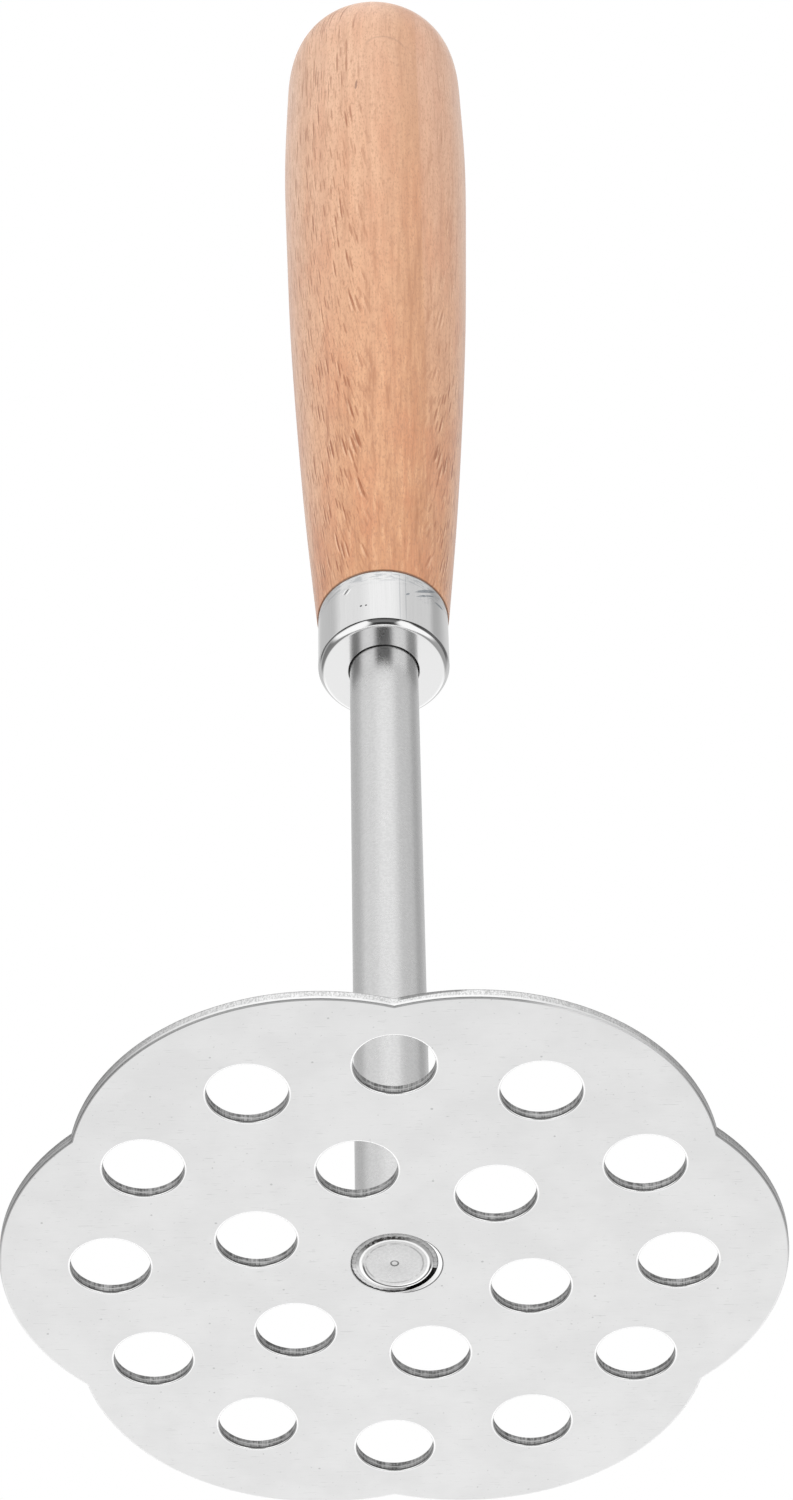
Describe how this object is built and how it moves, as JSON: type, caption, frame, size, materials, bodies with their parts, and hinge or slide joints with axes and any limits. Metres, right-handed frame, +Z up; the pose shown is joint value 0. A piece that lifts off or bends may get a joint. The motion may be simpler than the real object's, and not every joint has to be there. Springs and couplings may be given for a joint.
{
  "type": "potato masher",
  "caption": "Potato masher with a flat lobed steel plate pierced by round holes, a straight steel bar, a polished ferrule and a turned wooden handle.",
  "frame": {"origin": "centre of the plate's mashing face, on the axis of the bar", "axes": "+Z up the bar and handle, +Y towards one of the notches between the plate's lobes, +X across two opposite lobes"},
  "size_m": [0.1, 0.095, 0.2764],
  "materials": {
    "beech": "satin lacquered beech",
    "polished_steel": "polished",
    "turned_steel": "fine brushed round the bar",
    "plate_steel": "fine matt rolled sheet",
    "weld_steel": "as welded, dull",
    "set_glue": "set glue"
  },
  "bodies": {
    "root": {"handle": "beech", "ferrule": "polished_steel", "shaft": "turned_steel", "mashing_plate": "plate_steel", "weld": "weld_steel", "adhesive": "set_glue"}
  },
  "joints": []
}
